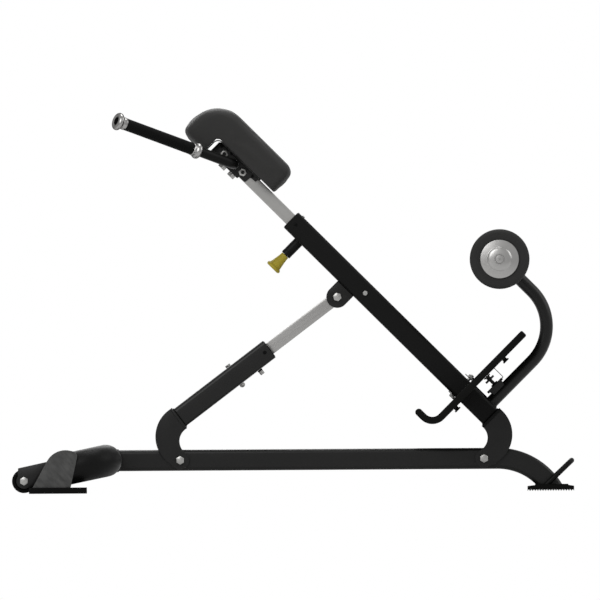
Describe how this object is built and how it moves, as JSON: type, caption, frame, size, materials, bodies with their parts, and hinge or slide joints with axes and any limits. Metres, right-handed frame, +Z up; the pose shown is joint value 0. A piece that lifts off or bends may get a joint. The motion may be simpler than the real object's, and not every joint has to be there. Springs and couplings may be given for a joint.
{
  "type": "hyperextension bench",
  "caption": "Back extension bench: a folding tilted frame on a base with a sliding hip pad, splayed handles, ankle rollers, a foot plate, a telescoping strut and transport wheels.",
  "frame": {"origin": "on the floor under the middle of the bench's bounding box", "axes": "+X runs from the wheeled rear end to the front foot, +Y to the far side, +Z up"},
  "size_m": [1.3302, 0.674, 0.9125],
  "materials": {
    "black_paint": "satin black powder coat",
    "satin_steel": "satin silver, brushed along the tube",
    "zinc": "bright zinc plating",
    "vinyl": "dark grey upholstery vinyl, fine grain",
    "rubber": "matt black rubber",
    "foam": "closed-cell foam with a smooth black skin",
    "boot_plastic": "grainy dark grey moulding",
    "guide_plastic": "matt black moulding",
    "knob_plastic": "mustard yellow moulding"
  },
  "bodies": {
    "base": {"base_tube": "black_paint", "rear_crossbar": "black_paint", "rear_boot_near": "boot_plastic", "rear_boot_far": "boot_plastic", "rear_foot_near": "rubber", "rear_foot_far": "rubber", "wheel_fork_near": "black_paint", "wheel_fork_far": "black_paint", "wheel_bolt_near": "zinc", "wheel_bolt_far": "zinc", "front_foot": "rubber", "front_end_plate": "black_paint", "lift_handle": "black_paint", "tilt_bolt": "zinc", "strut_bolt": "zinc"},
    "main_frame": {"main_tube": "black_paint", "frame_bracket_near": "black_paint", "frame_bracket_far": "black_paint", "slide_guide": "guide_plastic", "clevis": "black_paint", "clevis_bolt": "zinc", "pin_housing": "black_paint", "pin_spring": "zinc", "stop_screw": "zinc", "roller_arm": "black_paint", "roller_axle": "satin_steel", "arm_saddle": "black_paint", "platform_stop": "black_paint", "foot_platform": "black_paint", "platform_bolt": "zinc"},
    "strut_sleeve": {"strut_sleeve": "black_paint", "strut_bracket_near": "black_paint", "strut_bracket_far": "black_paint", "strut_guide": "guide_plastic", "lock_bolt": "zinc", "jam_screw": "zinc"},
    "strut_rod": {"strut_rod": "satin_steel"},
    "pad_carriage": {"pad_slide": "satin_steel", "pad_bracket": "black_paint", "pad_back_plate": "black_paint", "hip_pad": "vinyl", "handle_bar": "black_paint", "handle_grip_near": "rubber", "handle_grip_far": "rubber", "handle_collar_near": "satin_steel", "handle_collar_far": "satin_steel", "handle_cap_near": "satin_steel", "handle_cap_far": "satin_steel"},
    "pull_pin": {"pull_pin": "zinc", "pull_knob": "knob_plastic"},
    "roller_near": {"roller_foam_near": "foam", "roller_hub_near": "satin_steel"},
    "roller_far": {"roller_foam_far": "foam", "roller_hub_far": "satin_steel"},
    "wheel_near": {"wheel_near": "rubber"},
    "wheel_far": {"wheel_far": "rubber"}
  },
  "joints": [
    {"name": "frame_tilt", "type": "hinge", "parent": "base", "child": "main_frame", "pos_m": [0.4532, 0, 0.0775], "axis": [0, -1, 0], "range_deg": [0, 10]},
    {"name": "strut_swing", "type": "hinge", "parent": "base", "child": "strut_sleeve", "pos_m": [-0.2673, 0, 0.0775], "axis": [0, -1, 0], "range_deg": [-1.9, 0]},
    {"name": "strut_slide", "type": "slide", "parent": "strut_sleeve", "child": "strut_rod", "axis": [0.7974, 0, 0.6035], "range_m": [-0.0918, 0]},
    {"name": "pad_slide", "type": "slide", "parent": "main_frame", "child": "pad_carriage", "axis": [-0.7071, 0, 0.7071], "range_m": [-0.06, 0.1]},
    {"name": "pull_pin", "type": "slide", "parent": "main_frame", "child": "pull_pin", "axis": [-0.7071, 0, -0.7071], "range_m": [-0.0055, 0]},
    {"name": "roller_near_spin", "type": "hinge", "parent": "main_frame", "child": "roller_near", "pos_m": [0.49287, -0.1, 0.54963], "axis": [0, 1, 0], "continuous": true},
    {"name": "roller_far_spin", "type": "hinge", "parent": "main_frame", "child": "roller_far", "pos_m": [0.49287, 0.1, 0.54963], "axis": [0, 1, 0], "continuous": true},
    {"name": "wheel_near_spin", "type": "hinge", "parent": "base", "child": "wheel_near", "pos_m": [-0.6378, -0.29, 0.0303], "axis": [0, 1, 0], "continuous": true},
    {"name": "wheel_far_spin", "type": "hinge", "parent": "base", "child": "wheel_far", "pos_m": [-0.6378, 0.29, 0.0303], "axis": [0, 1, 0], "continuous": true}
  ],
  "couplings": [
    {"joint": "strut_swing", "follows": "frame_tilt", "ratio": -0.176},
    {"joint": "strut_slide", "follows": "frame_tilt", "m_per_rad": -0.523}
  ]
}
